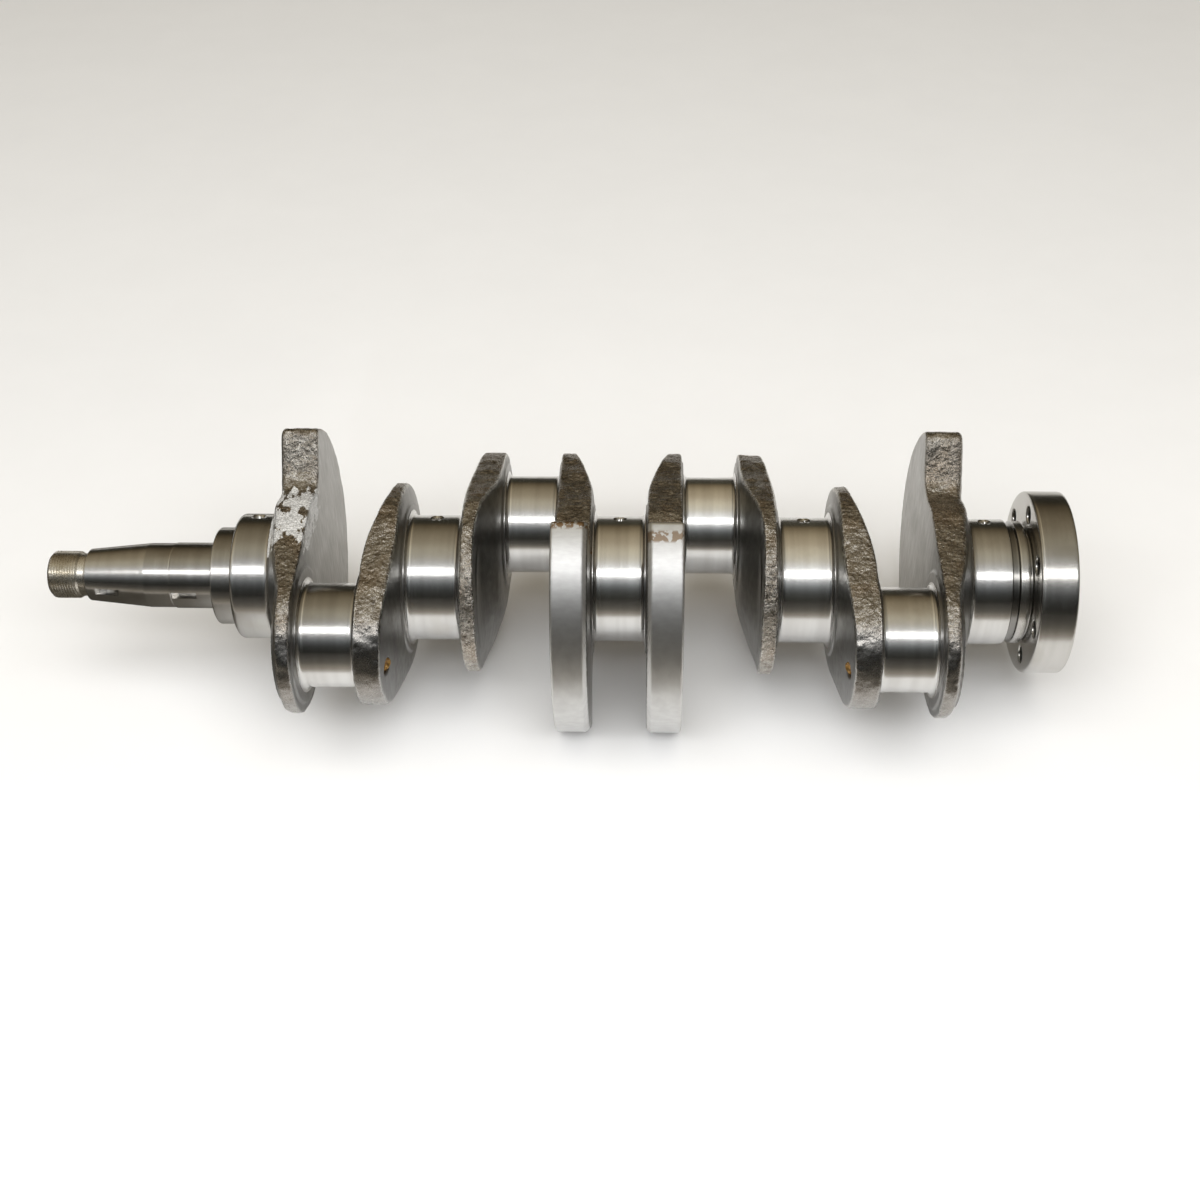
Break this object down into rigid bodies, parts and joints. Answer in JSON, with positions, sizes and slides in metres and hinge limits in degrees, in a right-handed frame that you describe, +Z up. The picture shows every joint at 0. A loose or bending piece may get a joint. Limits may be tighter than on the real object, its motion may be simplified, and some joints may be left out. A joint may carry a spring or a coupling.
{
  "type": "crankshaft",
  "caption": "Forged engine crankshaft with ground journals and crankpins, bevelled webs with counterweights, a keyed and threaded taper nose, and a drilled flywheel flange with a pilot bearing",
  "frame": {"origin": "the centre of the flywheel face of the flange, on the rotation axis", "axes": "+X runs from the threaded nose to the flange along the rotation axis, the crank throws lie in the XY plane with the first and last crankpins towards -Y, and +Z is up"},
  "size_m": [0.5713, 0.186, 0.1492],
  "materials": {
    "ground_steel": "polished",
    "machined_steel": "satin",
    "forged_steel": "matte",
    "threaded_steel": "satin",
    "plug_brass": "satin",
    "bearing_steel": "polished",
    "cage_steel": "satin",
    "shield_steel": "satin"
  },
  "bodies": {
    "crankshaft": {"crankpin_1": "ground_steel", "crankpin_2": "ground_steel", "crankpin_3": "ground_steel", "crankpin_4": "ground_steel", "flywheel_flange": "machined_steel", "front_seal_collar": "machined_steel", "gear_seat": "machined_steel", "main_journal_1": "ground_steel", "main_journal_2": "ground_steel", "main_journal_3": "ground_steel", "main_journal_4": "ground_steel", "main_journal_5": "ground_steel", "nose_taper": "machined_steel", "nose_thread": "threaded_steel", "oil_plug_1": "plug_brass", "oil_plug_2": "plug_brass", "oil_plug_3": "plug_brass", "oil_plug_4": "plug_brass", "pilot_bearing_front_shield": "shield_steel", "pilot_bearing_outer_ring": "bearing_steel", "pilot_bearing_rear_shield": "shield_steel", "rear_seal_land": "machined_steel", "web_1": "forged_steel", "web_2": "forged_steel", "web_3": "forged_steel", "web_4": "forged_steel", "web_5": "forged_steel", "web_6": "forged_steel", "web_7": "forged_steel", "web_8": "forged_steel"},
    "pilot_inner": {"pilot_bearing_inner_ring": "bearing_steel"},
    "pilot_cage": {"pilot_bearing_balls": "bearing_steel", "pilot_bearing_cage": "cage_steel"}
  },
  "joints": [
    {"name": "pilot_inner_spin", "type": "hinge", "parent": "crankshaft", "child": "pilot_inner", "pos_m": [-0.008, 0, 0], "axis": [1, 0, 0], "continuous": true},
    {"name": "pilot_cage_spin", "type": "hinge", "parent": "crankshaft", "child": "pilot_cage", "pos_m": [-0.008, 0, 0], "axis": [1, 0, 0], "continuous": true}
  ],
  "couplings": [
    {"joint": "pilot_cage_spin", "follows": "pilot_inner_spin", "ratio": 0.3816}
  ]
}
